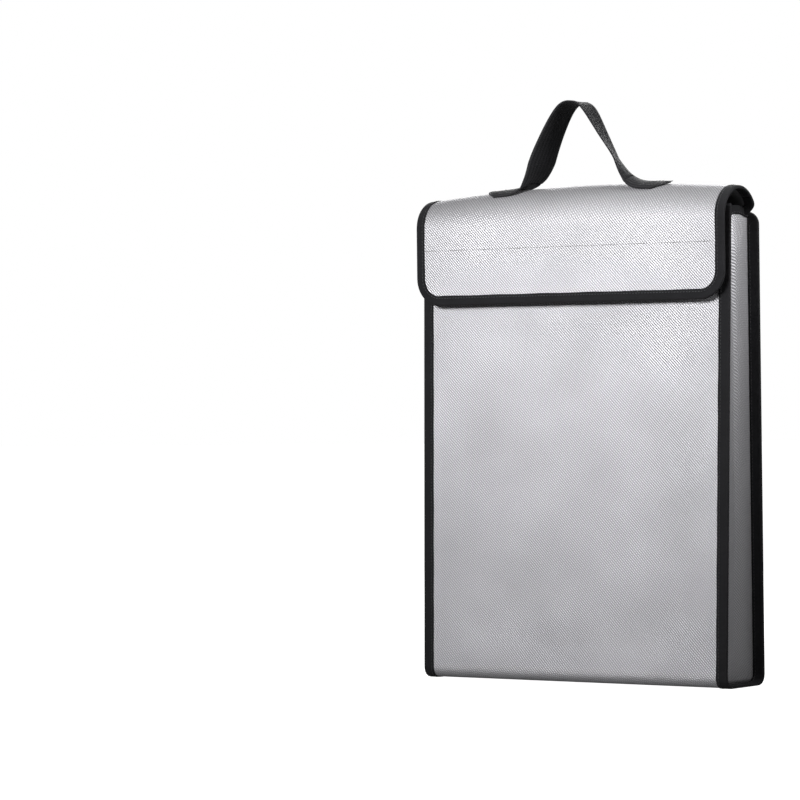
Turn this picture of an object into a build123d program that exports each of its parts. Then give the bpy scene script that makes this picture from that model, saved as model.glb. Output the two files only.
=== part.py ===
"""A soft, fire-resistant document and battery bag, standing upright on its base.

One strip of coated cloth runs down the front, under the base and up the back. A narrow gusset closes
each side, and black tape binds the seams, which stand out past the gussets as flat fins. A flap is
sewn along the top of the back, arches over the open mouth and drops down the front, where hook and
loop tape holds it. A webbing handle is sewn to the top of the flap.

Millimetres. X runs along the bag's width, -Y is the front, +Z is up, and the origin is the middle of
the base, on the surface that the bag stands on.
"""

import math
import os

from build123d import *

# ---------------------------------------------------------------- driving dimensions
BODY_WIDTH = 278.0  # over the bound side seams
BASE_DEPTH = 58.0  # front to back at the base
MOUTH_DEPTH = 44.0  # front to back at MOUTH_HEIGHT
MOUTH_HEIGHT = 366.0  # where the mouth depth is measured
FRONT_TOP = 364.0  # top edge of the front cloth
BACK_TOP = 360.8  # top edge of the back cloth
BASE_RADIUS = 8.0  # the cloth's fold under the front and the back
GUSSET_DIP = 8.0  # how far a gusset's top edge is folded down at its middle

CLOTH = 1.0  # outer coated cloth
LINING = 0.8  # inner cloth
TAPE = 0.8  # binding tape
SEAM_BINDING = 9.5  # how far the tape laps over a side seam of the body
BINDING = 8.0  # how far it laps over the flap's edge and the mouth
OVERLAP = 1.0  # how far the cloth runs in under the tape's edge

FLAP_WIDTH = 282.0
FLAP_TOP = 380.0  # crown of the flap's arch
FLAP_RADIUS = 25.0  # outer radius of the arch
FLAP_Y = -3.2  # the arch's centre
FLAP_HEM = 293.0  # lower edge of the flap's front drop
FLAP_CORNER = 22.0  # radius of the drop's lower corners
ARCH_START = 16.3  # where the arch leaves the back, degrees up from +Y
ARCH_END = 179.3  # where the arch hands over to the drop
DROP_TOP = 351.5  # upper edge of the front drop, below the bend

GRIP_TAPE = 1.3  # thickness of the hook tape and of the loop tape
GRIP_HALF = 125.0  # half the length of either tape
GRIP_LOW = 304.0
GRIP_HIGH = 338.5

WEBBING = 1.6
WEBBING_WIDTH = 25.0
HANDLE_Y = -8.0
LEG_SPREAD = 46.0  # where a handle leg's line meets the flap
LEG_RISE = 87.4  # where the two legs' lines meet
GRIP_RADIUS = 13.4  # the handle's bend at its top
FOOT_RADIUS = 20.0  # the handle's bend at each foot
FOOT_HEIGHT = 10.0  # how much of each leg stays with the flap
LOOP_START = 15.5  # where the swinging part of the handle starts
TAB_NEAR = 58.0
TAB_FAR = 86.0
TAB_POINT = 8.0  # how far a tab's end is cut back at each corner

# ---------------------------------------------------------------- derived sizes
WALL = CLOTH + LINING
BOUND = CLOTH + 2 * TAPE  # thickness of a bound seam
BODY_EDGE = BODY_WIDTH / 2
BODY_LAP = BODY_EDGE - SEAM_BINDING
FLAP_EDGE = FLAP_WIDTH / 2
FLAP_LAP = FLAP_EDGE - BINDING
GUSSET_BACK = BODY_LAP - CLOTH - LINING  # the innermost face of a lined gusset
FLAP_Z = FLAP_TOP - FLAP_RADIUS
DROP_Y = FLAP_Y - FLAP_RADIUS  # the outer face of the front drop
WEBBING_Z = FLAP_TOP + WEBBING / 2  # middle of the webbing where it lies on the crown
SIDES = {"left": -1, "right": 1}


def half_depth(z):
    """Half the bag's depth at height z. The front and back lean in evenly towards the mouth."""
    return (BASE_DEPTH - (BASE_DEPTH - MOUTH_DEPTH) * z / MOUTH_HEIGHT) / 2


def publish(piece, name):
    """Names a finished piece and writes it as parts/NAME.step."""
    piece.part.label = name
    export_step(piece.part, f"parts/{name}.step")


# ---------------------------------------------------------------- profiles, drawn flat
def body_outline(inset):
    """The bag's outline from the side, moved inwards by inset."""
    base = half_depth(inset) - inset
    mouth = half_depth(FRONT_TOP) - inset
    with BuildSketch() as face:
        with BuildLine():
            Polyline(
                (-base, inset),
                (base, inset),
                (mouth, FRONT_TOP),
                (-mouth, FRONT_TOP),
                close=True,
            )
        make_face()
        fillet(face.vertices().sort_by(Axis.Y)[:2], radius=BASE_RADIUS - inset)
    return face.sketch


def body_band(outer, inner):
    """The U of front, base and back between two insets, its back arm ending at BACK_TOP."""
    shell = body_outline(outer)
    hollow = body_outline(inner)
    with BuildSketch() as band:
        add(shell)
        add(hollow, mode=Mode.SUBTRACT)
        with Locations((0, BACK_TOP)):
            Rectangle(
                BASE_DEPTH,
                BASE_DEPTH,
                align=(Align.MIN, Align.MIN),
                mode=Mode.SUBTRACT,
            )
    return band.sketch


def gusset_outline(margin, drop):
    """A gusset's face, margin in from the bag's outline, its folded top edge lowered by drop."""
    outline = body_outline(margin)
    wide = BASE_DEPTH / 2
    with BuildSketch() as face:
        add(outline)
        with BuildLine():
            Polyline(
                (-wide, FRONT_TOP - drop),
                (0, FRONT_TOP - GUSSET_DIP - drop),
                (wide, BACK_TOP - drop),
                (wide, FLAP_TOP),
                (-wide, FLAP_TOP),
                close=True,
            )
        make_face(mode=Mode.SUBTRACT)
    return face.sketch


def arch_band(outer, inner, start=ARCH_START, end=ARCH_END):
    """The flap's arch from the side, between two depths below its outer surface."""
    with BuildSketch() as band:
        with BuildLine():
            centre = (FLAP_Y, FLAP_Z)
            high = CenterArc(centre, FLAP_RADIUS - outer, start, end - start)
            low = CenterArc(centre, FLAP_RADIUS - inner, start, end - start)
            Line(high @ 0, low @ 0)
            Line(high @ 1, low @ 1)
        make_face()
    return band.sketch


def drop_outline(inset):
    """The front drop from the front, its sides and hem moved inwards by inset."""
    half = FLAP_EDGE - inset
    with BuildSketch() as face:
        with BuildLine():
            Polyline(
                (-half, FLAP_HEM + inset),
                (half, FLAP_HEM + inset),
                (half, DROP_TOP),
                (-half, DROP_TOP),
                close=True,
            )
        make_face()
        fillet(face.vertices().sort_by(Axis.Y)[:2], radius=FLAP_CORNER - inset)
    return face.sketch


def drop_frame(outer, inner):
    """The U between two insets of the front drop's outline."""
    whole = drop_outline(outer)
    window = drop_outline(inner)
    with BuildSketch() as frame:
        add(whole)
        add(window, mode=Mode.SUBTRACT)
    return frame.sketch


# ---------------------------------------------------------------- ways of giving them thickness
def run_across(profile, start, end, mode=Mode.ADD):
    """Runs a side profile along X, from start to end, into the part being built."""
    low, high = sorted((start, end))
    with BuildSketch(Plane.YZ.offset(low)) as section:
        add(profile)
    extrude(section.sketch, amount=high - low, mode=mode)


def run_back(profile, outer, inner, mode=Mode.ADD):
    """Runs a front profile along Y, between two depths behind the drop's outer face."""
    with BuildSketch(Plane.XZ.offset(-DROP_Y - inner)) as section:
        add(profile)
    extrude(section.sketch, amount=inner - outer, mode=mode)


def make_wrap(name, band, lap, edge):
    """Cloth across the bag that steps in under the binding tape at both of its edges."""
    face = band(0, CLOTH)
    seam = band(TAPE, TAPE + CLOTH)
    with BuildPart() as cloth:
        run_across(face, -lap, lap)
        for side in SIDES.values():
            run_across(seam, side * (lap - OVERLAP), side * (edge - TAPE))
    publish(cloth, name)


def make_wrap_lining(name, band, lap):
    face = band(CLOTH, WALL)
    with BuildPart() as lining:
        run_across(face, OVERLAP - lap, lap - OVERLAP)
    publish(lining, name)


def make_side_binding(name, band, side, lap, edge):
    """Tape folded over one side edge: a leg on each face of the seam, and a cap past its end."""
    front_leg = band(0, TAPE)
    cap = band(0, BOUND)
    back_leg = band(BOUND - TAPE, BOUND)
    fold = side * (edge - TAPE)
    with BuildPart() as tape:
        run_across(front_leg, side * lap, fold)
        run_across(cap, fold, side * edge)
        run_across(back_leg, side * lap, fold)
    publish(tape, name)


# ---------------------------------------------------------------- the body
def make_gusset(name, side):
    sheet = gusset_outline(WALL, TAPE)
    seam = side * BODY_LAP
    face = side * (BODY_LAP - CLOTH)
    with BuildPart() as cloth:
        run_across(sheet, face, seam)
    publish(cloth, f"gusset_{name}")
    with BuildPart() as lining:
        run_across(sheet, side * GUSSET_BACK, face)
    publish(lining, f"lining_gusset_{name}")


def make_gusset_mouth_binding(name, side):
    """Tape over a gusset's top edge, following its fold."""
    whole = gusset_outline(BOUND, 0)
    below = gusset_outline(BOUND, BINDING)
    sheet = gusset_outline(0, TAPE)
    with BuildPart() as tape:
        run_across(whole, side * (GUSSET_BACK - TAPE), side * (BODY_LAP + TAPE))
        run_across(below, 0, side * BODY_EDGE, mode=Mode.SUBTRACT)
        run_across(sheet, side * GUSSET_BACK, side * BODY_LAP, mode=Mode.SUBTRACT)
    publish(tape, f"mouth_binding_{name}")


def make_front_mouth_binding():
    """Tape over the front cloth's top edge, between the two gussets."""
    half = half_depth(FRONT_TOP)
    low = FRONT_TOP + TAPE - BINDING
    high = FRONT_TOP + TAPE
    cloth = body_outline(0)
    hollow = body_outline(WALL)
    with BuildSketch() as wall:
        add(cloth)
        add(hollow, mode=Mode.SUBTRACT)
    with BuildSketch() as channel:
        with BuildLine():
            Polyline(
                (-half - TAPE, low),
                (-half + BOUND, low),
                (-half + BOUND, high),
                (-half - TAPE, high),
                close=True,
            )
        make_face()
        add(wall.sketch, mode=Mode.SUBTRACT)
    with BuildPart() as tape:
        run_across(channel.sketch, TAPE - GUSSET_BACK, GUSSET_BACK - TAPE)
    publish(tape, "mouth_binding_front")


def make_loop_strip():
    """Soft loop tape on the front cloth, where the flap comes down."""
    with BuildSketch() as strip:
        with BuildLine():
            low, high = half_depth(GRIP_LOW), half_depth(GRIP_HIGH)
            Polyline(
                (-low, GRIP_LOW),
                (-high, GRIP_HIGH),
                (-high - GRIP_TAPE, GRIP_HIGH),
                (-low - GRIP_TAPE, GRIP_LOW),
                close=True,
            )
        make_face()
    with BuildPart() as loop:
        run_across(strip.sketch, -GRIP_HALF, GRIP_HALF)
    publish(loop, "loop_strip")


# ---------------------------------------------------------------- the flap's front drop
def make_flap_front():
    """Cloth, lining, binding tape and hook tape of the part that hangs down the front."""
    middle = drop_outline(BINDING)
    seam = drop_frame(TAPE, BINDING + OVERLAP)
    inside = drop_outline(BINDING + OVERLAP)
    leg = drop_frame(TAPE, BINDING)
    cap = drop_frame(0, TAPE)
    with BuildPart() as cloth:
        run_back(middle, 0, CLOTH)
        run_back(seam, TAPE, TAPE + CLOTH)
    publish(cloth, "flap_front_panel")
    with BuildPart() as lining:
        run_back(inside, CLOTH, WALL)
    publish(lining, "flap_front_lining")
    with BuildPart() as tape:
        run_back(leg, 0, TAPE)
        run_back(cap, 0, BOUND)
        run_back(leg, BOUND - TAPE, BOUND)
    publish(tape, "flap_front_binding")
    with BuildSketch() as strip:
        with Locations((0, GRIP_LOW)):
            Rectangle(2 * GRIP_HALF, GRIP_HIGH - GRIP_LOW, align=(Align.CENTER, Align.MIN))
    with BuildPart() as hook:
        run_back(strip.sketch, WALL, WALL + GRIP_TAPE)
    publish(hook, "hook_strip")


# ---------------------------------------------------------------- the handle
def leg_point(side, height):
    """The point on a handle leg's straight line at that height above the crown."""
    return (side * LEG_SPREAD * (1 - height / LEG_RISE), WEBBING_Z + height)


def make_handle_foot(name, side):
    """The webbing's sewn-down, pointed end, and the start of the leg that rises from it."""
    half_angle = math.degrees(WEBBING_WIDTH / 2 / (FLAP_RADIUS + WEBBING / 2))
    lean = math.degrees(math.asin((FLAP_Y - HANDLE_Y) / FLAP_RADIUS))
    tab = arch_band(-WEBBING, 0, 90 + lean - half_angle, 90 + lean + half_angle)
    crown = arch_band(0, FLAP_RADIUS - WEBBING, 1, 179)
    reach = WEBBING_WIDTH / 2
    with BuildSketch() as plan:
        with BuildLine():
            Polyline(
                (side * TAB_NEAR, HANDLE_Y - reach),
                (side * (TAB_FAR - TAB_POINT), HANDLE_Y - reach),
                (side * TAB_FAR, HANDLE_Y - reach + TAB_POINT),
                (side * TAB_FAR, HANDLE_Y + reach - TAB_POINT),
                (side * (TAB_FAR - TAB_POINT), HANDLE_Y + reach),
                (side * TAB_NEAR, HANDLE_Y + reach),
                close=True,
            )
        make_face()
    with BuildPart() as end:
        run_across(tab, side * TAB_NEAR, side * TAB_FAR)
        with BuildSketch(Plane.XY.offset(FLAP_Z)):
            add(plan.sketch)
        extrude(amount=2 * FLAP_RADIUS, mode=Mode.INTERSECT)
    with BuildPart() as foot:
        with BuildSketch(Plane.XZ.offset(-HANDLE_Y - reach)):
            with BuildLine() as leg:
                FilletPolyline(
                    (side * (TAB_NEAR + TAB_POINT), WEBBING_Z),
                    leg_point(side, 0),
                    leg_point(side, FOOT_HEIGHT + WEBBING_WIDTH),
                    radius=FOOT_RADIUS,
                )
            trace(leg.line, line_width=WEBBING)
            with Locations((0, WEBBING_Z + FOOT_HEIGHT)):
                Rectangle(
                    BODY_WIDTH,
                    LEG_RISE,
                    align=(Align.CENTER, Align.MIN),
                    mode=Mode.SUBTRACT,
                )
        extrude(amount=WEBBING_WIDTH)
        run_across(crown, side, side * FLAP_EDGE, mode=Mode.SUBTRACT)
        add(end.part)
    publish(foot, f"handle_foot_{name}")


def make_handle_loop():
    """The webbing between the two feet, bent over at the top into a narrow grip."""
    with BuildPart() as loop:
        with BuildSketch(Plane.XZ.offset(-HANDLE_Y - WEBBING_WIDTH / 2)):
            with BuildLine() as arch:
                FilletPolyline(
                    leg_point(-1, 0),
                    leg_point(-1, LEG_RISE),
                    leg_point(1, 0),
                    radius=GRIP_RADIUS,
                )
            trace(arch.line, line_width=WEBBING)
            with Locations((0, WEBBING_Z + LOOP_START)):
                Rectangle(
                    BODY_WIDTH,
                    LEG_RISE,
                    align=(Align.CENTER, Align.MAX),
                    mode=Mode.SUBTRACT,
                )
        extrude(amount=WEBBING_WIDTH)
    publish(loop, "handle_loop")


def main():
    os.makedirs("parts", exist_ok=True)
    make_wrap("body_wrap", body_band, BODY_LAP, BODY_EDGE)
    make_wrap_lining("lining_wrap", body_band, BODY_LAP)
    make_wrap("flap_top_panel", arch_band, FLAP_LAP, FLAP_EDGE)
    make_wrap_lining("flap_top_lining", arch_band, FLAP_LAP)
    make_front_mouth_binding()
    make_loop_strip()
    for name, side in SIDES.items():
        make_gusset(name, side)
        make_gusset_mouth_binding(name, side)
        make_side_binding(f"edge_binding_{name}", body_band, side, BODY_LAP, BODY_EDGE)
        make_side_binding(f"flap_top_binding_{name}", arch_band, side, FLAP_LAP, FLAP_EDGE)
        make_handle_foot(name, side)
    make_flap_front()
    make_handle_loop()


main()
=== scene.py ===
"""A silver storage bag with black bound edges, a hook and loop flap and a webbing handle.

The bag's cloth is worked out flat, as x across the sheet and s along it, and then laid on the side
profile that the CAD gives. Tape, thread and linings are laid on the same profiles, so that they follow
the cloth's swell. Metres; the front faces -Y.
"""

import math

import bmesh
import bpy
import numpy as np
from mathutils import Matrix, Vector


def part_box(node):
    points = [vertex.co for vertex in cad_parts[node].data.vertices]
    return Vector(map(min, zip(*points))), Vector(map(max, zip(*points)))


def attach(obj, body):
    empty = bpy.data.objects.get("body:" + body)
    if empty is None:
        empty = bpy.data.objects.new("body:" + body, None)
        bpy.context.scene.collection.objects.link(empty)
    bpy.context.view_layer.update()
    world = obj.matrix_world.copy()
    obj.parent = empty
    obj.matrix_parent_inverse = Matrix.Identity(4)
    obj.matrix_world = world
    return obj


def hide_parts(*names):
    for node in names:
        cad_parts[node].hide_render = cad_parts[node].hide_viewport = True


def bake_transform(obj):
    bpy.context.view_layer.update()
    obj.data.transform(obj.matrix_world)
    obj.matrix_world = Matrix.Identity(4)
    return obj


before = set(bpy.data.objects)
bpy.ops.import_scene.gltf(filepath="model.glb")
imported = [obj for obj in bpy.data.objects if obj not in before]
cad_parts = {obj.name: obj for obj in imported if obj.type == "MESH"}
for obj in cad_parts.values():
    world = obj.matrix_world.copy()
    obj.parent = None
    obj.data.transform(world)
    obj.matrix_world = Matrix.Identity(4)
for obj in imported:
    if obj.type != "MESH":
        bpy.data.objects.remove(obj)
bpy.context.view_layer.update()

MM = 0.001

# ---------------------------------------------------------------- sizes, from the CAD's boxes
_, wrap_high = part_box("body_wrap")
tape_low, tape_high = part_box("edge_binding_right")
drop_low, drop_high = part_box("flap_front_binding")
_, arch_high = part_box("flap_top_panel")
_, foot_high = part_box("handle_foot_right")
loop_low, loop_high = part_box("handle_loop")
hook_low, hook_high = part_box("hook_strip")

BODY_EDGE = tape_high.x
FLAP_EDGE = drop_high.x
FRONT_TOP = wrap_high.z
HEM = drop_low.z
FLAP_TOP = arch_high.z
DROP_Y = drop_low.y
LEAN = 7.2 / 366  # how fast each face leans in with height
SHEAR = 2.6 / 366  # how fast the filled bag leans back with height
GROW = 0.017 / 0.366  # how much it widens with height, as a share for each metre
CROWN_BOW = 6.5 * MM  # how far the middle of the crown stands above its ends
CROWN_DROP = 1.2 * MM  # how far its ends sink
BASE_HALF = 29 * MM
BASE_RADIUS = 8 * MM
FLAP_RADIUS = 25 * MM
FLAP_Y = DROP_Y + FLAP_RADIUS
FLAP_Z = FLAP_TOP - FLAP_RADIUS
FLAP_CORNER = 22 * MM
JOIN_Z = 345 * MM  # where the flap's cloth starts, sewn on inside the back's
BACK_TOP = 360 * MM  # the back's top edge
FIN_RADIUS = 10 * MM  # the rounded top of each back seam
TAPE_WIDTH = 8 * MM  # on the flap and the mouth
SEAM_WIDTH = tape_high.x - tape_low.x  # on the body's side seams
CLOTH_OUT = -0.5 * MM  # outer face of the cloth, below the tape's outer face
CLOTH_IN = -1.5 * MM
LINING_IN = -2.2 * MM
BOUND = -2.6 * MM  # inner face of a bound seam
CLOTH_INSET = 1.6 * MM  # the cloth's cut edge, inside the tape's fold
CELL = 3 * MM  # usual size of a face
ON_TAPE = 0.05 * MM  # how far a stitch's middle stands off what it is sewn on


def smooth(t):
    t = np.clip(t, 0, 1)
    return t * t * (3 - 2 * t)


def half_depth(z):
    return BASE_HALF - LEAN * z


def crown_bow(x):
    return CROWN_BOW * (1 - (np.asarray(x) / FLAP_EDGE) ** 2) - CROWN_DROP


# ---------------------------------------------------------------- side profiles
class Profile:
    """A line in the Y-Z plane, read by the distance s along it, with its outward normal."""

    def __init__(self, points):
        points = np.array(points, float)
        steps = np.linalg.norm(np.diff(points, axis=0), axis=1)
        along = np.concatenate([[0], np.cumsum(steps)])
        count = int(along[-1] / (0.5 * MM))
        self.s = np.linspace(0, along[-1], count)
        line = np.stack([np.interp(self.s, along, points[:, i]) for i in (0, 1)], axis=1)
        kernel = np.array([1, 4, 6, 4, 1]) / 16
        for _ in range(6):
            padded = np.concatenate([[2 * line[0] - line[1]] * 2, line, [2 * line[-1] - line[-2]] * 2])
            padded[0] = 3 * line[0] - 2 * line[1]
            padded[-1] = 3 * line[-1] - 2 * line[-2]
            line = np.stack([np.convolve(padded[:, i], kernel, "valid") for i in (0, 1)], axis=1)
        self.line = line
        tangent = np.gradient(line, self.s, axis=0)
        tangent /= np.linalg.norm(tangent, axis=1)[:, None]
        self.normal = np.stack([tangent[:, 1], -tangent[:, 0]], axis=1)
        self.length = self.s[-1]

    def at(self, s, n):
        """The points (y, z) at distance s along the line, n outside it. Runs straight on past its ends."""
        s = np.asarray(s, float)
        inside = np.clip(s, 0, self.length)
        y, z = (np.interp(inside, self.s, self.line[:, i]) for i in (0, 1))
        ny, nz = (np.interp(inside, self.s, self.normal[:, i]) for i in (0, 1))
        past = s - inside
        return y + n * ny - past * nz, z + n * nz + past * ny

    def s_at_z(self, z, last=False):
        """How far along the line first, or last, reaches height z."""
        above = self.line[:, 1] > z
        flips = np.nonzero(above[1:] != above[:-1])[0]
        return self.s[flips[-1] if last else flips[0]]


def arc(y, z, radius, start, end, count=24):
    turns = np.radians(np.linspace(start, end, count))
    return [(y + radius * math.cos(t), z + radius * math.sin(t)) for t in turns]


INSIDE_BACK = half_depth(BACK_TOP) + SHEAR * BACK_TOP + BOUND - 0.2 * MM
corner_y = half_depth(BASE_RADIUS) - BASE_RADIUS
body = Profile(
    [(-half_depth(FRONT_TOP), FRONT_TOP)]
    + arc(-corner_y, BASE_RADIUS, BASE_RADIUS, 181, 270)
    + arc(corner_y, BASE_RADIUS, BASE_RADIUS, 270, 359)
    + [(half_depth(BACK_TOP), BACK_TOP), (half_depth(BACK_TOP + 4 * MM), BACK_TOP + 4 * MM)]
)
BODY_END = body.length - 4 * MM
flap = Profile(
    [(INSIDE_BACK, JOIN_Z - 4 * MM), (INSIDE_BACK, 355 * MM)]
    + arc(FLAP_Y, FLAP_Z, FLAP_RADIUS, 20, 180, 60)
    + [(DROP_Y, HEM + 0.4 * MM)]
)
FLAP_START = 4 * MM  # where its cloth starts along that line
FLAP_SPLIT = flap.s_at_z(FLAP_Z + 18 * MM)  # between its back and front meshes, over the crown
FLAP_FREE = flap.s_at_z(356 * MM)  # where the flap comes out of the bag and its tape starts
FREE_RADIUS = 13.5 * MM  # its rounded corners there
FRONT_STITCH_Z = 337 * MM  # the row that holds the hook tape


# ---------------------------------------------------------------- how far the cloth swells
CLOTH_STEPS = 30  # frames that the cloth is run for
SMOOTHINGS = 10  # times that its result is smoothed, which leaves the swell and takes off the crinkles


class Swell:
    """Outward movement of the body's cloth, kept on a grid over x and s."""

    def __init__(self, xs, ss, values):
        self.xs, self.ss, self.values = xs, ss, values

    def at(self, x, s):
        x, s = np.broadcast_arrays(np.asarray(x, float), np.asarray(s, float))
        i = np.clip(np.interp(x, self.xs, np.arange(len(self.xs))), 0, len(self.xs) - 1.001)
        j = np.clip(np.interp(s, self.ss, np.arange(len(self.ss))), 0, len(self.ss) - 1.001)
        a, b = i.astype(int), j.astype(int)
        fi, fj = i - a, j - b
        v = self.values
        low = v[a, b] * (1 - fi) + v[a + 1, b] * fi
        high = v[a, b + 1] * (1 - fi) + v[a + 1, b + 1] * fi
        return low * (1 - fj) + high * fj


def body_swell_mask(x, s):
    """Where the cloth is free to move: not at its seams, on the floor or behind the flap."""
    _, z = body.at(s, 0)
    seam = smooth((BODY_EDGE - 12 * MM - np.abs(x)) / (30 * MM))
    front = s < body.length / 2
    front_grip = 1 - smooth((z - 276 * MM) / (24 * MM))
    back_grip = 1 - smooth((z - 318 * MM) / (26 * MM))
    grip = np.where(front, front_grip, back_grip)
    floor = smooth((z - 3 * MM) / (30 * MM))
    return seam * np.maximum(grip, 0.0) * floor


def relax_body():
    """Runs cloth over the body's sheet, held at its seams, and reads back how far it swelled."""
    xs = np.linspace(-(BODY_EDGE - 8 * MM), BODY_EDGE - 8 * MM, 45)
    ss = np.linspace(0, body.length, 120)
    gx, gs = np.meshgrid(xs, ss, indexing="ij")
    y, z = body.at(gs, CLOTH_OUT)
    rest = np.stack([gx, y, z], axis=-1)
    mask = body_swell_mask(gx, gs)
    _, height = body.at(gs, 0)
    nx, ns = gx.shape
    index = np.arange(nx * ns).reshape(nx, ns)
    quads = [index[:-1, :-1], index[1:, :-1], index[1:, 1:], index[:-1, 1:]]
    faces = np.stack(quads, axis=-1).reshape(-1, 4)
    mesh = bpy.data.meshes.new("relax")
    mesh.from_pydata(rest.reshape(-1, 3).tolist(), [], faces.tolist())
    sheet = bpy.data.objects.new("relax", mesh)
    bpy.context.scene.collection.objects.link(sheet)
    on_front = mesh.polygons[len(faces) // 8]
    outward = 1 if on_front.normal.y < 0 else -1
    pins = sheet.vertex_groups.new(name="pins")
    held = 1 - smooth(mask.reshape(-1) / 0.25)
    for i, weight in enumerate(held):
        if weight > 0.02:
            pins.add([i], float(weight), "REPLACE")
    cloth = sheet.modifiers.new("cloth", "CLOTH")
    settings = cloth.settings
    settings.quality = 6
    settings.mass = 0.4
    settings.tension_stiffness = 25
    settings.compression_stiffness = 25
    settings.shear_stiffness = 12
    settings.bending_stiffness = 4
    settings.air_damping = 3
    settings.vertex_group_mass = "pins"
    settings.shrink_min = -0.003
    settings.use_pressure = True
    settings.uniform_pressure_force = 0.35 * outward
    cloth.collision_settings.use_collision = False
    cloth.collision_settings.use_self_collision = False
    cloth.point_cache.frame_start = 1
    cloth.point_cache.frame_end = CLOTH_STEPS + 10
    scene = bpy.context.scene
    for step in range(1, CLOTH_STEPS + 1):
        scene.frame_set(step)
    deps = bpy.context.evaluated_depsgraph_get()
    moved = sheet.evaluated_get(deps).to_mesh()
    co = np.zeros(len(moved.vertices) * 3)
    moved.vertices.foreach_get("co", co)
    co = co.reshape(nx, ns, 3)
    scene.frame_set(1)
    bpy.data.objects.remove(sheet, do_unlink=True)
    inside = np.clip(gs, 0, body.length)
    ny, nz = (np.interp(inside, body.s, body.normal[:, i]) for i in (0, 1))
    out = (co[..., 1] - rest[..., 1]) * ny + (co[..., 2] - rest[..., 2]) * nz
    print("cloth moved", round(out.min() / MM, 2), round(out.max() / MM, 2), "mm")
    out = np.clip(out, -2 * MM, 9 * MM)
    for _ in range(SMOOTHINGS):
        padded = np.pad(out, 1, mode="edge")
        around = padded[:-2, 1:-1] + padded[2:, 1:-1] + padded[1:-1, :-2] + padded[1:-1, 2:]
        out = out / 2 + around / 8
    return Swell(xs, ss, out * mask)


swell = relax_body()


def body_map(x, s, n):
    """A point of the body's sheet: x across it, s down the front and up the back, n outside it."""
    x, s, n = np.broadcast_arrays(*(np.asarray(v, float) for v in (x, s, n)))
    y, z = body.at(s, n + swell.at(x, s))
    return np.stack([x * (1 + GROW * z), y + SHEAR * z, np.maximum(z, 0)], axis=-1)


BACK_WIDTH = 0.98  # the flap's width where it is sewn on, as a share of its cut width
FRONT_WIDTH = 1.004
ASIDE = 0.8 * MM  # it sits a little to the left
HEM_TILT = 0.009  # and its hem drops a little to the right
BOW_START = 352 * MM  # height above which the crown's bow is felt


def flap_map(x, s, n):
    """A point of the flap's sheet: x across it, s from the back over the crown and down the front."""
    x, s, n = np.broadcast_arrays(*(np.asarray(v, float) for v in (x, s, n)))
    down = smooth((s - FLAP_SPLIT) / (60 * MM))
    across = 1 - (x / FLAP_EDGE) ** 2
    wave = np.sin(x / (31 * MM) + 0.7) * 0.35 * MM + np.sin(x / (13 * MM) + s / (40 * MM)) * 0.12 * MM
    y, z = flap.at(s, n + down * (0.5 * MM * across + wave * across))
    z = z + crown_bow(x) * smooth((z - BOW_START) / (FLAP_TOP - 2 * MM - BOW_START))
    z = z - HEM_TILT * x * down
    tuck = smooth((s - 12 * MM) / (14 * MM))
    wide = BACK_WIDTH + (FRONT_WIDTH - BACK_WIDTH) * tuck
    return np.stack([x * wide - ASIDE * tuck, y, z], axis=-1)


# ---------------------------------------------------------------- gusset shape
GUSSET_X = BODY_EDGE - SEAM_WIDTH
GUSSET_DIP = 5.5 * MM
GUSSET_BOTTOM = -BOUND - 0.3 * MM
GUSSET_TOP = 364 * MM
GUSSET_HALF = 27 * MM  # half its width when it lies flat


def gusset_top(t):
    """Height of a gusset's top edge, with its folded-down middle. t is -1 at the front and 1 at the back."""
    valley = smooth((t + 1) / 0.45) * (1 - smooth((t - 0.02) / 0.3))
    return GUSSET_TOP - 2.5 * MM * smooth((t - 0.5) / 0.5) - GUSSET_DIP * valley


def gusset_map(side, t, z, n):
    """A point of one side's gusset: t from front to back, at height z, n outside it."""
    t, z, n = np.broadcast_arrays(*(np.asarray(v, float) for v in (t, z, n)))
    radius = BASE_RADIUS - GUSSET_BOTTOM
    low = np.clip(BASE_RADIUS - z, 0, radius)
    half = half_depth(z) - BASE_RADIUS + np.sqrt(radius**2 - low**2)
    upper = smooth((z - 120 * MM) / (240 * MM))
    fold = 1 - np.abs(t) ** 0.9
    gather = smooth((z - 325 * MM) / (35 * MM))
    pinch = (1.0 + 2.5 * upper + 5.5 * gather) * MM * fold * np.exp(-0.4 * np.abs(t))
    puff = 1.4 * MM * np.sin(np.pi * np.abs(t)) * smooth(z / (60 * MM)) * (1 - 0.6 * upper)
    ripple = 0.35 * MM * np.sin(z / (19 * MM) + 2 * t + side) * (1 - t**2)
    x = (GUSSET_X - pinch + puff + ripple + n) * (1 + GROW * z)
    return np.stack([side * x, t * half + SHEAR * z, z], axis=-1)


# ---------------------------------------------------------------- meshes
def make_object(name, points, faces, uvs, material, slot, parts=(), shade=True):
    """A mesh from points and faces, with one UV in metres for each point."""
    mesh = bpy.data.meshes.new(name)
    mesh.from_pydata(np.asarray(points, float).tolist(), [], [list(map(int, f)) for f in faces])
    layer = mesh.uv_layers.new(name="flat")
    corner = np.zeros(len(mesh.loops), np.int32)
    mesh.loops.foreach_get("vertex_index", corner)
    layer.data.foreach_set("uv", np.asarray(uvs, float)[corner].astype(np.float32).ravel())
    mesh.materials.append(material)
    mesh.polygons.foreach_set("use_smooth", [shade] * len(mesh.polygons))
    piece = bpy.data.objects.new(name, mesh)
    bpy.context.scene.collection.objects.link(piece)
    mesh.validate()
    face_outwards(mesh)
    if parts:
        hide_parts(*parts)
    return piece


def face_outwards(mesh):
    work = bmesh.new()
    work.from_mesh(mesh)
    bmesh.ops.recalc_face_normals(work, faces=work.faces)
    work.to_mesh(mesh)
    work.free()
    mesh.update()


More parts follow.
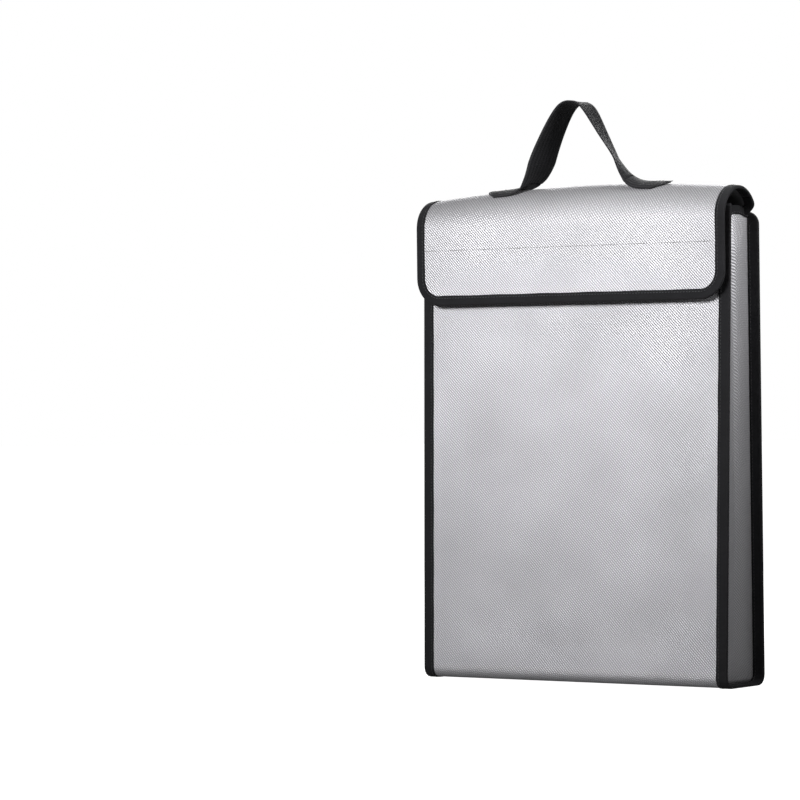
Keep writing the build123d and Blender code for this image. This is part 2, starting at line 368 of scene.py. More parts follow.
def grid_faces(rows, columns, start=0):
    index = start + np.arange(rows * columns).reshape(rows, columns)
    quads = [index[:-1, :-1], index[1:, :-1], index[1:, 1:], index[:-1, 1:]]
    return np.stack(quads, axis=-1).reshape(-1, 4)


def shell_faces(rows, columns):
    """Faces of a closed sheet: one grid of points, the same grid after it, and the four edges between."""
    total = rows * columns
    faces = [grid_faces(rows, columns), grid_faces(rows, columns, total)[:, ::-1]]
    index = np.arange(total).reshape(rows, columns)
    for edge in (index[0], index[-1][::-1], index[:, 0][::-1], index[:, -1]):
        faces.append(np.stack([edge[:-1], edge[1:], edge[1:] + total, edge[:-1] + total], axis=-1))
    return np.concatenate(faces)


def slab(name, place, us, vs, outer, inner, material, slot, parts=(), spread=None):
    """A sheet with thickness. place(u, v, n) gives its points, and spread(v) scales u along it."""
    u, v = np.meshgrid(us, vs, indexing="ij")
    if spread is not None:
        u = u * spread(v)
    top = place(u, v, outer).reshape(-1, 3)
    low = place(u, v, inner).reshape(-1, 3)
    uv = np.stack([u, v], axis=-1).reshape(-1, 2)
    points, uvs = np.concatenate([top, low]), np.concatenate([uv, uv])
    return make_object(name, points, shell_faces(*u.shape), uvs, material, slot, parts)


def spaced(low, high, step=CELL):
    return np.linspace(low, high, max(2, int(round(abs(high - low) / step)) + 1))


def channel_section(width=TAPE_WIDTH, outer=0.0, thickness=0.6 * MM, bound=BOUND):
    """Half outlines of folded tape as (inward, n): its outside, then its inside, in the same order."""
    middle = (outer + bound) / 2
    radius = (outer - bound) / 2
    bend = np.radians(np.linspace(90, 270, 9))
    legs = np.linspace(width, radius, 5)[:-1]
    outside = [(d, outer) for d in legs]
    outside += [(radius + radius * math.cos(b), middle + radius * math.sin(b)) for b in bend]
    outside += [(d, bound) for d in legs[::-1]]
    small = radius - thickness
    inside = [(d, outer - thickness) for d in legs]
    inside += [(radius + small * math.cos(b), middle + small * math.sin(b)) for b in bend]
    inside += [(d, bound + thickness) for d in legs[::-1]]
    return np.array(outside), np.array(inside)


def tape(name, place, path, inward, material, slot, parts=(), width=TAPE_WIDTH, section=None):
    """Folded tape along a path in a sheet. path and inward are (u, v) pairs, inward pointing into it."""
    path, inward = np.array(path, float), np.array(inward, float)
    outside, inside = section or channel_section(width)
    steps = np.linalg.norm(np.diff(path, axis=0), axis=1)
    along = np.concatenate([[0], np.cumsum(steps)])
    points, uvs = [], []
    for outline in (outside, inside):
        d, n = outline[:, 0], outline[:, 1]
        spot = path[:, None, :] + inward[:, None, :] * d[None, :, None]
        waver = 0.12 * MM * np.sin(along / (7 * MM))[:, None] * (d > width * 0.9)[None, :]
        spot = spot + inward[:, None, :] * waver[..., None]
        points.append(place(spot[..., 0], spot[..., 1], np.broadcast_to(n, spot.shape[:2])).reshape(-1, 3))
        round_it = np.concatenate([[0], np.cumsum(np.linalg.norm(np.diff(outline, axis=0), axis=1))])
        across, length = np.meshgrid(round_it, along)
        uvs.append(np.stack([length, across], axis=-1).reshape(-1, 2))
    faces = shell_faces(len(path), len(outside))
    return make_object(name, np.concatenate(points), faces, np.concatenate(uvs), material, slot, parts)


def stitches(name, place, path, n, material, slot, pitch=2.6 * MM, length=1.9 * MM, radius=0.24 * MM):
    """A row of thread stitches along a path in a sheet, each a small rounded bar."""
    path = np.array(path, float)
    steps = np.linalg.norm(np.diff(path, axis=0), axis=1)
    along = np.concatenate([[0], np.cumsum(steps)])
    count = int(along[-1] / pitch)
    centres = (np.arange(count) + 0.5) * along[-1] / count
    rings = np.array([(-0.5, 0.25), (-0.38, 0.85), (0, 1.0), (0.38, 0.85), (0.5, 0.25)])
    sides = 6
    turn = np.arange(sides) * 2 * math.pi / sides
    points, uvs = [], []
    for ahead, size in rings:
        at = centres + ahead * length
        u = np.interp(at, along, path[:, 0])
        v = np.interp(at, along, path[:, 1])
        du = np.interp(at + 0.1 * MM, along, path[:, 0]) - np.interp(at - 0.1 * MM, along, path[:, 0])
        dv = np.interp(at + 0.1 * MM, along, path[:, 1]) - np.interp(at - 0.1 * MM, along, path[:, 1])
        norm = np.maximum(np.hypot(du, dv), 1e-9)
        for angle in turn:
            side = math.cos(angle) * radius * size
            lift = math.sin(angle) * radius * size
            points.append(place(u - dv / norm * side, v + du / norm * side, n + lift))
            uvs.append(np.stack([at, np.full(count, angle * radius)], axis=-1))
    points = np.stack(points, axis=1).reshape(-1, 3)
    uvs = np.stack(uvs, axis=1).reshape(-1, 2)
    block = len(rings) * sides
    faces = []
    for r in range(len(rings) - 1):
        for k in range(sides):
            a, b = r * sides + k, r * sides + (k + 1) % sides
            faces.append((a, b, b + sides, a + sides))
    caps = [tuple(range(sides))[::-1], tuple(range(block - sides, block))]
    shift = np.arange(count) * block
    every = [tuple(i + s for i in f) for s in shift for f in faces + caps]
    return make_object(name, points, every, uvs, material, slot)


# ---------------------------------------------------------------- materials
class Nodes:
    """A material's node tree, with short ways to add to it."""

    def __init__(self, name):
        self.material = bpy.data.materials.new(name)
        self.material.use_nodes = True
        self.tree = self.material.node_tree
        self.shader = self.tree.nodes["Principled BSDF"]

    def add(self, kind, **values):
        node = self.tree.nodes.new(kind)
        for key, value in values.items():
            setattr(node, key, value)
        return node

    def feed(self, socket, value):
        if isinstance(value, bpy.types.NodeSocket):
            self.tree.links.new(value, socket)
        else:
            socket.default_value = value

    def math(self, operation, a, b=0.0, c=0.0):
        node = self.add("ShaderNodeMath", operation=operation)
        for socket, value in zip(node.inputs, (a, b, c)):
            self.feed(socket, value)
        return node.outputs[0]

    def uv(self):
        split = self.add("ShaderNodeSeparateXYZ")
        source = self.add("ShaderNodeUVMap", uv_map="flat")
        self.tree.links.new(source.outputs[0], split.inputs[0])
        return source.outputs[0], split.outputs[0], split.outputs[1]

    def noise(self, vector, scale, detail=2.0, rough=0.5):
        node = self.add("ShaderNodeTexNoise")
        self.feed(node.inputs["Vector"], vector)
        node.inputs["Scale"].default_value = scale
        node.inputs["Detail"].default_value = detail
        node.inputs["Roughness"].default_value = rough
        return node.outputs["Fac"]

    def spread(self, value, low, high, to_low, to_high):
        node = self.add("ShaderNodeMapRange", clamp=True)
        for socket, v in zip(node.inputs, (value, low, high, to_low, to_high)):
            self.feed(socket, v)
        return node.outputs[0]

    def mix(self, share, a, b):
        node = self.add("ShaderNodeMix", data_type="RGBA")
        self.feed(node.inputs["Factor"], share)
        self.feed(node.inputs[6], a)
        self.feed(node.inputs[7], b)
        return node.outputs[2]

    def wave(self, value, pitch):
        """0 to 1 and back once in each pitch."""
        angle = self.math("MULTIPLY", value, 2 * math.pi / pitch)
        return self.math("MULTIPLY_ADD", self.math("SINE", angle), 0.5, 0.5)

    def bump(self, height, distance, strength=1.0):
        node = self.add("ShaderNodeBump")
        node.inputs["Strength"].default_value = strength
        node.inputs["Distance"].default_value = distance
        self.feed(node.inputs["Height"], height)
        self.tree.links.new(node.outputs[0], self.shader.inputs["Normal"])

    def set(self, **values):
        for key, value in values.items():
            self.feed(self.shader.inputs[key.replace("_", " ")], value)
        return self.material


def rgba(r, g, b):
    return (r, g, b, 1.0)


RIDGE = 2.4 * MM  # the twill's diagonal ridges
OVAL = 2.9 * MM  # the ovals along a ridge


def twill_material():
    """Coated glass cloth: diagonal ridges broken into small ovals, with a soft metallic sheen, painted
    highlight on the ridge tops and painted shade in the grooves between them.
    """
    m = Nodes("silver_twill")
    vector, u, v = m.uv()
    wobble = m.math("MULTIPLY", m.noise(vector, 160.0, 2.0), 0.5 * MM)
    line = m.math("ADD", m.math("SUBTRACT", u, v), wobble)
    ridge = m.wave(line, RIDGE)
    row = m.math("FLOOR", m.math("DIVIDE", line, RIDGE))
    cross = m.math("ADD", m.math("ADD", u, v), m.math("MULTIPLY", row, 1.3 * MM))
    oval = m.wave(cross, OVAL)
    height = m.math("MULTIPLY", ridge, m.math("MULTIPLY_ADD", oval, 0.55, 0.45))
    large = m.noise(vector, 14.0, 3.0)
    fine = m.noise(vector, 900.0, 2.0)
    # painted highlight and painted shade: the colour follows the weave's bump height, light on the ridge
    # tops and dark in the grooves, with fine random tone added
    tone = m.math("ADD", height, m.math("MULTIPLY_ADD", fine, 0.5, -0.25))
    dark, light, worn = rgba(0.38, 0.375, 0.395), rgba(0.74, 0.735, 0.765), rgba(0.46, 0.46, 0.475)
    colour = m.mix(m.spread(tone, 0.0, 0.9, 0.0, 1.0), dark, light)
    colour = m.mix(m.spread(large, 0.35, 0.7, 0.0, 0.25), colour, worn)
    m.bump(height, 0.4 * MM, 0.85)
    rough = m.spread(large, 0.3, 0.7, 0.42, 0.54)
    return m.set(Base_Color=colour, Roughness=rough, Metallic=0.6, Sheen_Weight=0.1)


def ribbed_material(name, dark, light, pitch, rib, roughness, sheen):
    """Woven tape: ribs across its length and a fine thread along it, slightly dusty."""
    m = Nodes(name)
    vector, u, v = m.uv()
    ribs = m.wave(m.math("ADD", u, m.math("MULTIPLY", m.noise(vector, 300.0), 0.2 * MM)), pitch)
    threads = m.wave(v, 0.55 * MM)
    height = m.math("MULTIPLY_ADD", threads, 0.3, ribs)
    dust = m.noise(vector, 45.0, 3.0)
    tone = m.math("MULTIPLY", height, m.spread(dust, 0.3, 0.75, 0.45, 1.0))
    colour = m.mix(m.spread(tone, 0.0, 1.2, 0.0, 1.0), dark, light)
    m.bump(height, rib, 0.8)
    return m.set(Base_Color=colour, Roughness=roughness, Specular_IOR_Level=0.25, Sheen_Weight=sheen)


def webbing_material():
    """Heavy webbing: two rows of slanted yarns that meet down each rib."""
    m = Nodes("black_webbing")
    vector, u, v = m.uv()
    column = m.wave(v, 3.1 * MM)
    slant = m.math("ADD", u, m.math("MULTIPLY", m.math("PINGPONG", v, 1.55 * MM), 0.9))
    yarn = m.wave(slant, 1.5 * MM)
    height = m.math("MULTIPLY_ADD", yarn, 0.7, m.math("MULTIPLY", column, 0.5))
    fuzz = m.noise(vector, 700.0, 2.0)
    tone = m.math("MULTIPLY_ADD", fuzz, 0.4, height)
    dark, light = rgba(0.004, 0.004, 0.005), rgba(0.02, 0.02, 0.023)
    colour = m.mix(m.spread(tone, 0.1, 1.5, 0.0, 1.0), dark, light)
    m.bump(height, 0.4 * MM, 0.9)
    return m.set(Base_Color=colour, Roughness=0.62, Specular_IOR_Level=0.3, Sheen_Weight=0.06)


def lining_material():
    """Plain-weave coated lining, dull grey."""
    m = Nodes("grey_lining")
    vector, u, v = m.uv()
    height = m.math("MULTIPLY", m.wave(u, 1.3 * MM), m.wave(v, 1.3 * MM))
    large = m.noise(vector, 22.0, 3.0)
    tone = m.math("MULTIPLY_ADD", large, 0.7, m.math("MULTIPLY", height, 0.5))
    colour = m.mix(m.spread(tone, 0.1, 0.9, 0.0, 1.0), rgba(0.13, 0.13, 0.137), rgba(0.26, 0.26, 0.27))
    m.bump(height, 0.2 * MM, 0.6)
    return m.set(Base_Color=colour, Roughness=0.62)


def grip_material(name, hooks):
    """Hook tape has rows of stiff dots; loop tape is a soft, brushed pile."""
    m = Nodes(name)
    vector, u, v = m.uv()
    if hooks:
        height = m.math("MULTIPLY", m.wave(u, 1.5 * MM), m.wave(v, 1.5 * MM))
        tone = m.math("MULTIPLY_ADD", m.noise(vector, 500.0), 0.3, height)
        dark, light = rgba(0.01, 0.01, 0.011), rgba(0.07, 0.07, 0.075)
    else:
        height = m.noise(vector, 900.0, 4.0, 0.7)
        tone = height
        dark, light = rgba(0.012, 0.012, 0.013), rgba(0.085, 0.085, 0.09)
    colour = m.mix(m.spread(tone, 0.2, 0.9, 0.0, 1.0), dark, light)
    m.bump(height, 0.5 * MM, 0.9)
    return m.set(Base_Color=colour, Roughness=0.7, Sheen_Weight=0.4 if not hooks else 0.05)


def thread_material(name, dark, light):
    m = Nodes(name)
    vector, u, v = m.uv()
    twist = m.wave(m.math("ADD", u, v), 0.5 * MM)
    tone = m.math("MULTIPLY_ADD", m.noise(vector, 60.0), 0.6, twist)
    m.bump(twist, 0.1 * MM, 0.6)
    colour = m.mix(m.spread(tone, 0.2, 1.4, 0.0, 1.0), dark, light)
    return m.set(Base_Color=colour, Roughness=0.45, Sheen_Weight=0.1)


TWILL = twill_material()
BINDING = ribbed_material(
    "black_binding", rgba(0.004, 0.004, 0.005), rgba(0.016, 0.016, 0.019),
    pitch=0.9 * MM, rib=0.25 * MM, roughness=0.66, sheen=0.05,
)
WEBBING = webbing_material()
LINING = lining_material()
HOOKS = grip_material("hook_tape", True)
LOOPS = grip_material("loop_tape", False)
THREAD = thread_material("black_thread", rgba(0.012, 0.012, 0.014), rgba(0.06, 0.06, 0.065))
PALE_THREAD = thread_material("grey_thread", rgba(0.1, 0.098, 0.095), rgba(0.3, 0.29, 0.285))


# ---------------------------------------------------------------- the body
def side_path(side, edge, start, end, step=4 * MM):
    """A path down one straight edge of a sheet, and the way into the sheet at each point."""
    vs = spaced(start, end, step)
    return [(side * edge, v) for v in vs], [(-side, 0)] * len(vs)


def body_half_width(s, inset):
    """Half the body sheet's width at s, inset from its edge, with its rounded upper corners."""
    radius = FIN_RADIUS - inset
    left = np.clip(FIN_RADIUS - (BODY_END - s), 0, radius)
    return BODY_EDGE - FIN_RADIUS + np.sqrt(radius**2 - left**2)


def make_body():
    """The wrap's cloth and lining, the tape on the mouth's front edge, and the loop tape."""
    top = BODY_END - 1 * MM
    cloth = slab(
        "bag_cloth", body_map, spaced(-1, 1, 1 / 47), spaced(0, top, 2 * MM), CLOTH_OUT, CLOTH_IN,
        TWILL, "silver_cloth", ["body_wrap"], spread=lambda s: body_half_width(s, CLOTH_INSET),
    )
    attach(cloth, "bag")
    inner = GUSSET_X - 0.5 * MM
    lining = slab(
        "bag_lining", body_map, spaced(-inner, inner), spaced(0, top), CLOTH_IN - 0.1 * MM, LINING_IN,
        LINING, "grey_lining", ["lining_wrap"],
    )
    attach(lining, "bag")
    ends = GUSSET_X + 0.6 * MM
    us = spaced(-ends, ends)
    section = channel_section(7.5 * MM, -0.1 * MM, 0.6 * MM, -3.0 * MM)
    mouth = tape(
        "mouth_tape_front", body_map, [(u, -0.8 * MM) for u in us], [(0, 1)] * len(us),
        BINDING, "black_binding", ["mouth_binding_front"], section=section,
    )
    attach(mouth, "bag")
    thread = stitches(
        "mouth_thread_front", body_map, [(u, 5 * MM) for u in us], -0.05 * MM, THREAD, "black_binding"
    )
    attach(thread, "bag")
    low = body.s_at_z(hook_low.z + 0.5 * MM)
    high = body.s_at_z(hook_high.z)
    reach = hook_high.x
    loop = slab(
        "loop_strip_cloth", body_map, spaced(-reach, reach), spaced(high, low), 0.8 * MM, CLOTH_OUT,
        LOOPS, "loop_tape", ["loop_strip"],
    )
    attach(loop, "bag")
    edge = 2 * MM
    frame_path = [(-reach + edge, high + edge), (reach - edge, high + edge), (reach - edge, low - edge)]
    frame_path += [(-reach + edge, low - edge), (-reach + edge, high + edge)]
    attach(stitches("loop_strip_thread", body_map, frame_path, 0.85 * MM, THREAD, "black_binding"), "bag")


def make_gusset(side, name):
    """One side's cloth and lining, and the tape over its top edge. side is -1 or 1."""
    ts = np.linspace(-1, 1, 25)
    rows = np.linspace(0, 1, 110)

    def place(t, r, n):
        z = GUSSET_BOTTOM + r * (gusset_top(t) - GUSSET_BOTTOM)
        return gusset_map(side, t, z, n)

    def layer(outer, inner, material, slot, parts, label):
        t, r = np.meshgrid(ts, rows, indexing="ij")
        piece = slab(label, place, ts, rows, outer, inner, material, slot, parts)
        flat = np.stack([t * GUSSET_HALF, (1 - r) * BACK_TOP], axis=-1).reshape(-1, 2)
        both = np.concatenate([flat, flat])
        corner = np.zeros(len(piece.data.loops), np.int32)
        piece.data.loops.foreach_get("vertex_index", corner)
        piece.data.uv_layers["flat"].data.foreach_set("uv", both[corner].astype(np.float32).ravel())
        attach(piece, "bag")

    layer(0, -1.0 * MM, TWILL, "silver_cloth", [f"gusset_{name}"], f"gusset_cloth_{name}")
    layer(-1.1 * MM, -1.8 * MM, LINING, "grey_lining", [f"lining_gusset_{name}"], f"gusset_lining_{name}")

    def mouth(u, down, n):
        t = np.clip(u / GUSSET_HALF, -1, 1)
        return gusset_map(side, t, gusset_top(t) - down, n)

    end = GUSSET_HALF - 0.1 * MM
    us = np.linspace(-end, end, 41)
    section = channel_section(7.0 * MM, 0.7 * MM, 0.6 * MM, -2.5 * MM)
    band = tape(
        f"mouth_tape_{name}", mouth, [(u, -0.8 * MM) for u in us], [(0, 1)] * len(us),
        BINDING, "black_binding", [f"mouth_binding_{name}"], section=section,
    )
    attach(band, "bag")
    row = [(u, 4.8 * MM) for u in us]
    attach(stitches(f"mouth_thread_{name}", mouth, row, 0.75 * MM, THREAD, "black_binding"), "bag")


def make_seam(side, name):
    """The tape down one edge of the wrap, over the gusset's seams, and its two rows of stitches."""
    path, inward = side_path(side, BODY_EDGE, 0, BODY_END - FIN_RADIUS, 3 * MM)
    row = [(side * (GUSSET_X + 2 * MM), v) for _, v in path]
    for turn in np.radians(np.linspace(0, 90, 12))[1:]:
        out, up = math.cos(turn), math.sin(turn)
        path.append((side * (BODY_EDGE - FIN_RADIUS * (1 - out)), BODY_END - FIN_RADIUS * (1 - up)))
        inward.append((-side * out, -up))
    band = tape(
        f"seam_tape_{name}", body_map, path, inward, BINDING, "black_binding", [f"edge_binding_{name}"],
        width=SEAM_WIDTH,
    )
    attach(band, "bag")
    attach(stitches(f"seam_thread_{name}", body_map, row, ON_TAPE, THREAD, "black_binding"), "bag")
    thread = stitches(f"seam_thread_in_{name}", body_map, row, BOUND - ON_TAPE, THREAD, "black_binding")
    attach(thread, "bag")


# ---------------------------------------------------------------- the flap
def flap_half_width(s, inset):
    """Half the flap's width at s, inset from its edge, with its rounded lower corners."""
    radius = FLAP_CORNER - inset
    left = np.clip(FLAP_CORNER - (flap.length - s), 0, radius)
    low = FLAP_EDGE - FLAP_CORNER + np.sqrt(radius**2 - left**2)
    radius = FREE_RADIUS - inset
    left = np.clip(FREE_RADIUS - (s - FLAP_FREE), 0, radius)
    return np.minimum(low, FLAP_EDGE - FREE_RADIUS + np.sqrt(radius**2 - left**2))


def flap_path(inset, start):
    """Down one side of the flap, round its hem and up the other side, with the way in at each point."""
    edge, end = FLAP_EDGE - inset, flap.length - inset
    radius = FLAP_CORNER - inset
    straight = spaced(start, end - radius)
    path = [(-edge, v) for v in straight]
    inward = [(1.0, 0.0)] * len(straight)
    for turn in np.radians(np.linspace(0, 90, 14))[1:]:
        out, down = radius * math.cos(turn), radius * math.sin(turn)
        path.append((-edge + radius - out, end - radius + down))
        inward.append((math.cos(turn), -math.sin(turn)))
    across = spaced(-edge + radius, edge - radius)[1:-1]
    path += [(u, end) for u in across]
    inward += [(0.0, -1.0)] * len(across)
    count = len(straight) + 13
    path += [(-u, v) for u, v in path[:count][::-1]]
    inward += [(-a, b) for a, b in inward[:count][::-1]]
    return path, inward


FLAP_ROW = TAPE_WIDTH - 2 * MM  # from the flap's edge to its row of stitches


def over_back(piece):
    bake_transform(piece)


def over_bend(piece):
    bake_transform(piece)


def make_flap():
    """The flap's cloth and lining, its tape and thread, and the hook tape inside it."""
    fine = CELL / 2
    us = spaced(-1, 1, 1 / 47)
    ends = ((FLAP_START, FLAP_SPLIT), (FLAP_SPLIT, flap.length - CLOTH_INSET))
    joins = (over_back, over_bend)
    names = ("back", "front")
    parts = ([], ["flap_top_panel", "flap_front_panel"])
    linings = ([], ["flap_top_lining", "flap_front_lining"])
    for (start, end), join, name, stands, lined in zip(ends, joins, names, parts, linings):
        vs = spaced(start, end, fine)
        piece = slab(
            f"flap_cloth_{name}", flap_map, us, vs, CLOTH_OUT, CLOTH_IN,
            TWILL, "silver_cloth", stands, spread=lambda s: flap_half_width(s, CLOTH_INSET),
        )
        join(piece)
        piece = slab(
            f"flap_lining_{name}", flap_map, us, vs, CLOTH_IN - 0.1 * MM, LINING_IN,
            LINING, "grey_lining", lined, spread=lambda s: flap_half_width(s, CLOTH_INSET),
        )
        join(piece)
    for side, name in ((-1, "left"), (1, "right")):
        path, inward = [], []
        for turn in np.radians(np.linspace(90, 0, 12))[:-1]:
            out, up = math.cos(turn), math.sin(turn)
            path.append((side * (FLAP_EDGE - FREE_RADIUS * (1 - out)), FLAP_FREE + FREE_RADIUS * (1 - up)))
            inward.append((-side * out, up))
        straight, across = side_path(side, FLAP_EDGE, FLAP_FREE + FREE_RADIUS, FLAP_SPLIT, fine)
        path += straight
        inward += across
        over_back(tape(
            f"flap_tape_back_{name}", flap_map, path, inward,
            BINDING, "black_binding", [f"flap_top_binding_{name}"],
        ))
        row = [(side * (FLAP_EDGE - FLAP_ROW), v) for _, v in straight]
        over_back(stitches(f"flap_thread_back_{name}", flap_map, row, ON_TAPE, THREAD, "black_binding"))
    path, inward = flap_path(0, FLAP_SPLIT)
    over_bend(tape("flap_tape", flap_map, path, inward, BINDING, "black_binding", ["flap_front_binding"]))
    row, _ = flap_path(FLAP_ROW, FLAP_SPLIT)
    over_bend(stitches("flap_thread", flap_map, row, ON_TAPE, THREAD, "black_binding"))
    over_bend(stitches("flap_thread_inside", flap_map, row, BOUND - ON_TAPE, THREAD, "black_binding"))
    reach = hook_high.x
    high = flap.s_at_z(hook_high.z, last=True)
    low = flap.s_at_z(hook_low.z + 0.5 * MM, last=True)
    hook = slab(
        "hook_strip_tape", flap_map, spaced(-reach, reach), spaced(high, low), LINING_IN, -3.6 * MM,
        HOOKS, "hook_tape", ["hook_strip"],
    )
    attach(hook, "flap_front")
    line = flap.s_at_z(FRONT_STITCH_Z, last=True)
    end = FLAP_EDGE - TAPE_WIDTH - 0.5 * MM
    row = [(u, line) for u in spaced(-end, end)]
    thread = stitches("flap_front_thread", flap_map, row, CLOTH_OUT + ON_TAPE, PALE_THREAD, "silver_cloth")
    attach(thread, "flap_front")


# ---------------------------------------------------------------- the handle
TWIST_HEIGHTS = (0, 8, 19, 36, 55, 72)  # mm above the crown
TWIST_DEGREES = (0, 15, 23, 14, 6, 0)  # how far the webbing is turned there


def make_handle():
    """One length of webbing: sewn along the crown at both ends, and arched up in between."""
    half = (loop_high.y - loop_low.y) / 2
    middle_y = (loop_high.y + loop_low.y) / 2
    thick = 1.5 * MM
    crown = FLAP_TOP + 0.2 * MM
    leg = 46 * MM
    point_length = 9 * MM
    # along the crown and above it, in mm, from one sewn end over the top to the other
    controls = [
        (80, 0), (75, 0), (66, 0), (56, 0.3), (46, 3.5), (38, 12), (30, 25),
        (21, 39), (13, 53), (6, 62.5), (-2, 64.5), (-10, 62.5), (-17.5, 53), (-25, 40),
        (-31.5, 27), (-37, 14), (-45, 4), (-55, 0.3), (-65, 0), (-75, 0), (-82.5, 0),
    ]
    curve = bpy.data.curves.new("handle_line", "CURVE")
    curve.dimensions = "3D"
    spline = curve.splines.new("NURBS")
    spline.points.add(len(controls) - 1)
    for point, (x, z) in zip(spline.points, controls):
        point.co = (x * MM, 0, z * MM, 1)
    spline.order_u = 4
    spline.use_endpoint_u = True
    spline.resolution_u = 12
    holder = bpy.data.objects.new("handle_line", curve)
    bpy.context.scene.collection.objects.link(holder)
    read = bpy.data.meshes.new_from_object(holder)
    line = np.array([v.co for v in read.vertices], float)
    bpy.data.objects.remove(holder, do_unlink=True)
    steps = np.concatenate([[0], np.cumsum(np.linalg.norm(np.diff(line, axis=0), axis=1))])
    count = 150
    along = np.linspace(0, steps[-1], count)
    xs = np.interp(along, steps, line[:, 0])
    zs = np.interp(along, steps, line[:, 2])
    tx, tz = np.gradient(xs, along), np.gradient(zs, along)
    size = np.hypot(tx, tz)
    tx, tz = tx / size, tz / size
    sag = smooth(zs / (26 * MM))
    radius = FLAP_RADIUS + thick / 2 + 0.1 * MM
    bs = np.linspace(-half, half, 15)
    points, uvs = [], []
    ends = np.minimum(along, along[-1] - along)
    for layer in (0.5, -0.5):
        for i in range(count):
            narrow = 0.36 + 0.64 * np.clip(ends[i] / point_length, 0, 1)
            turned = np.interp(zs[i] / MM, TWIST_HEIGHTS, TWIST_DEGREES)
            twist = -math.radians(turned) * math.copysign(1, xs[i])
            for b in bs:
                w = b * narrow
                cup = (1 - (w / half) ** 2) * 0.5 * MM * sag[i]
                nx, nz = -tz[i], tx[i]
                if nz < 0 and abs(xs[i]) > leg:
                    nx, nz = -nx, -nz
                off = layer * thick * (1 - 0.35 * (abs(w) / half) ** 8)
                flat_x = xs[i] + nx * (off + cup) + w * math.sin(twist)
                flat_y = middle_y + w * math.cos(twist)
                flat_z = crown + zs[i] + thick / 2 + nz * (off + cup) + crown_bow(xs[i])
                lean = (middle_y - FLAP_Y + w) / radius
                out = radius + off * (1 if nz > 0 else -1)
                drape_y = FLAP_Y + out * math.sin(lean)
                drape_z = FLAP_Z + out * math.cos(lean) + zs[i] + crown_bow(xs[i])
                share = 1 - sag[i]
                points.append((
                    flat_x,
                    flat_y * (1 - share) + drape_y * share,
                    flat_z * (1 - share) + drape_z * share,
                ))
                uvs.append((along[i], w))
    strap = make_object(
        "handle_webbing", points, shell_faces(count, len(bs)), uvs, WEBBING, "black_webbing",
        ["handle_loop", "handle_foot_left", "handle_foot_right"],
    )
    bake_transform(strap)

    def on_tab(x, w, n):
        x, w, n = np.broadcast_arrays(*(np.asarray(v, float) for v in (x, w, n)))
        out = radius + thick / 2 + n
        lean = (middle_y - FLAP_Y + w) / radius
        height = FLAP_Z + out * np.cos(lean) + crown_bow(x)
        return np.stack([x, FLAP_Y + out * np.sin(lean), height], axis=-1)

    for side, name in ((-1, "left"), (1, "right")):
        near, far = 60 * MM, foot_high.x - 3.5 * MM
        box_half = half - 3 * MM
        cut, rise = far - 5 * MM, box_half - 6 * MM
        path = [(near, -box_half), (cut, -box_half), (far, -rise), (far, rise)]
        path += [(cut, box_half), (near, box_half), (near, -box_half), (cut, box_half)]
        path = [(side * u, v) for u, v in path]
        thread = stitches(f"handle_thread_{name}", on_tab, path, ON_TAPE, THREAD, "black_webbing")
        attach(thread, "flap_top")


# ---------------------------------------------------------------- camera, lights and floor
CAMERA_TURN = math.radians(32.78)  # round the bag, from its front to its right
CAMERA_RISE = math.radians(0.19)
CAMERA_ROLL = math.radians(-0.62)
CAMERA_ASIDE = math.radians(-3.16)  # how far it looks past the bag, to the left
CAMERA_UP = math.radians(0.65)
CAMERA_DISTANCE = 2.649
CAMERA_TARGET = Vector((0, 0, 0.19))
CAMERA_LENS = 153


def swing(first, second, angle):
    """Two directions at right angles, both turned by the angle, the first towards the second."""
    cosine, sine = math.cos(angle), math.sin(angle)
    return first * cosine + second * sine, second * cosine - first * sine


def make_camera():
    """At the front right, level with the bag's middle, turned left so that it fills the right half."""
    turn, rise, roll = CAMERA_TURN, CAMERA_RISE, CAMERA_ROLL
    aside, tilt = CAMERA_ASIDE, CAMERA_UP
    back = Vector((math.sin(turn) * math.cos(rise), -math.cos(turn) * math.cos(rise), math.sin(rise)))
    right = Vector((math.cos(turn), math.sin(turn), 0))
    up = back.cross(right)
    where = CAMERA_TARGET + back * CAMERA_DISTANCE
    ahead = -back * math.cos(aside) + right * math.sin(aside)
    right = right * math.cos(aside) + back * math.sin(aside)
    ahead, up = swing(ahead, up, tilt)
    right, up = swing(right, up, roll)
    data = bpy.data.cameras.new("camera")
    data.sensor_width = 36
    data.lens = CAMERA_LENS
    camera = bpy.data.objects.new("camera", data)
    bpy.context.scene.collection.objects.link(camera)
    turned = Matrix((right, up, -ahead)).transposed()
    camera.matrix_world = Matrix.Translation(where) @ turned.to_4x4()
    bpy.context.scene.camera = camera


def make_light(name, where, target, size, power, spread):
    """A rectangular light that the camera doesn't see. size in metres, power in watts, spread in degrees."""
    data = bpy.data.lights.new(name, "AREA")
    data.shape = "RECTANGLE"
    data.size, data.size_y = size
    data.energy = power
    data.spread = math.radians(spread)
    light = bpy.data.objects.new(name, data)
    bpy.context.scene.collection.objects.link(light)
    light.location = where
    light.visible_camera = False
    light.rotation_euler = (Vector(target) - Vector(where)).to_track_quat("-Z", "Y").to_euler()


FLOOR_REACH = 30
WHITE_FLOOR = 1.05  # the floor's own light, for the camera alone
WORLD_LIGHT = 0.1
WORLD_SEEN = 1.0  # the background's brightness, for the camera alone


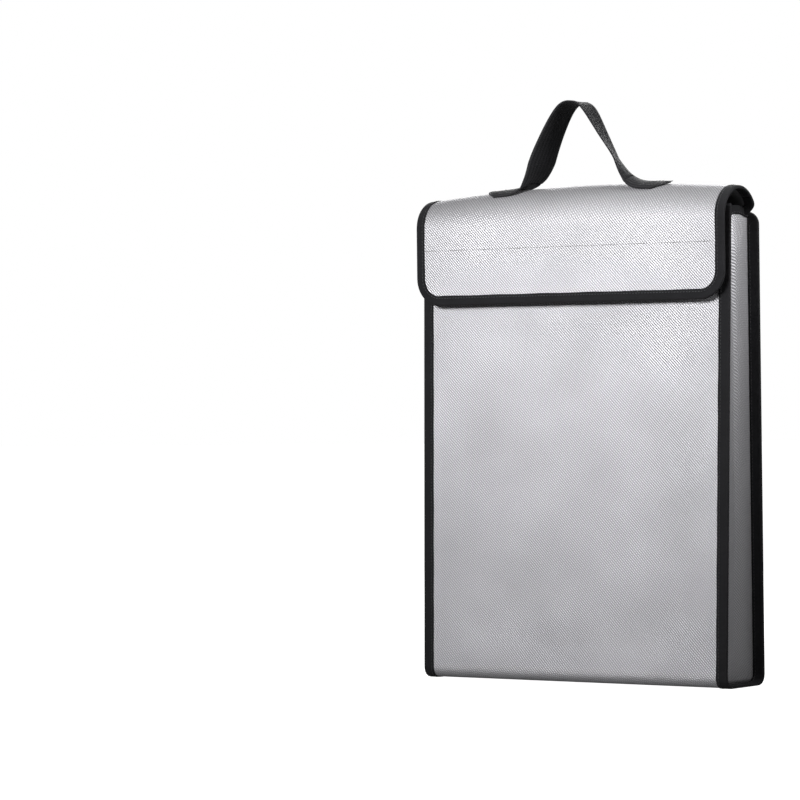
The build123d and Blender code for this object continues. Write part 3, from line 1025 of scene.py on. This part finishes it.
def make_studio():
    """A floor and background that look white, and give little light, and three soft lights."""
    floor = Nodes("studio_floor")
    vector = floor.add("ShaderNodeTexCoord").outputs["Object"]
    tone = floor.spread(floor.noise(vector, 3.0), 0.3, 0.7, 0.0, 1.0)
    colour = floor.mix(tone, rgba(0.3, 0.3, 0.3), rgba(0.32, 0.32, 0.32))
    seen = floor.add("ShaderNodeLightPath").outputs["Is Camera Ray"]
    floor.set(Base_Color=colour, Roughness=0.8, Emission_Color=rgba(1, 1, 1))
    floor.feed(floor.shader.inputs["Emission Strength"], floor.math("MULTIPLY", seen, WHITE_FLOOR))
    mesh = bpy.data.meshes.new("studio_floor")
    ends = (-FLOOR_REACH, 0, FLOOR_REACH)
    rows = [(x, y, 0) for x in ends for y in ends]
    mesh.from_pydata(rows, [], grid_faces(3, 3)[:, ::-1].tolist())
    mesh.materials.append(floor.material)
    plane = bpy.data.objects.new("studio_floor", mesh)
    bpy.context.scene.collection.objects.link(plane)
    world = bpy.data.worlds.new("studio")
    world.use_nodes = True
    tree = world.node_tree
    background = tree.nodes["Background"]
    background.inputs["Color"].default_value = rgba(1, 1, 1)
    seen = tree.nodes.new("ShaderNodeLightPath")
    strength = tree.nodes.new("ShaderNodeMapRange")
    strength.inputs["To Min"].default_value = WORLD_LIGHT
    strength.inputs["To Max"].default_value = WORLD_SEEN
    tree.links.new(seen.outputs["Is Camera Ray"], strength.inputs["Value"])
    tree.links.new(strength.outputs[0], background.inputs["Strength"])
    bpy.context.scene.view_settings.view_transform = "Standard"
    bpy.context.scene.world = world
    make_light("key", (-0.15, -1.2, 0.74), (0.02, 0, 0.44), size=(0.7, 0.4), power=2.5, spread=58)
    make_light("rear", (-0.9, 1.7, 0.9), (0, 0, 0.25), size=(1.2, 1.0), power=14, spread=150)
    make_light("side", (0.55, -0.05, 0.6), (0.14, 0, 0.36), size=(0.25, 0.25), power=0.5, spread=70)


make_camera()
make_body()
for side, name in ((-1, "left"), (1, "right")):
    make_gusset(side, name)
    make_seam(side, name)
make_flap()
make_handle()
make_studio()
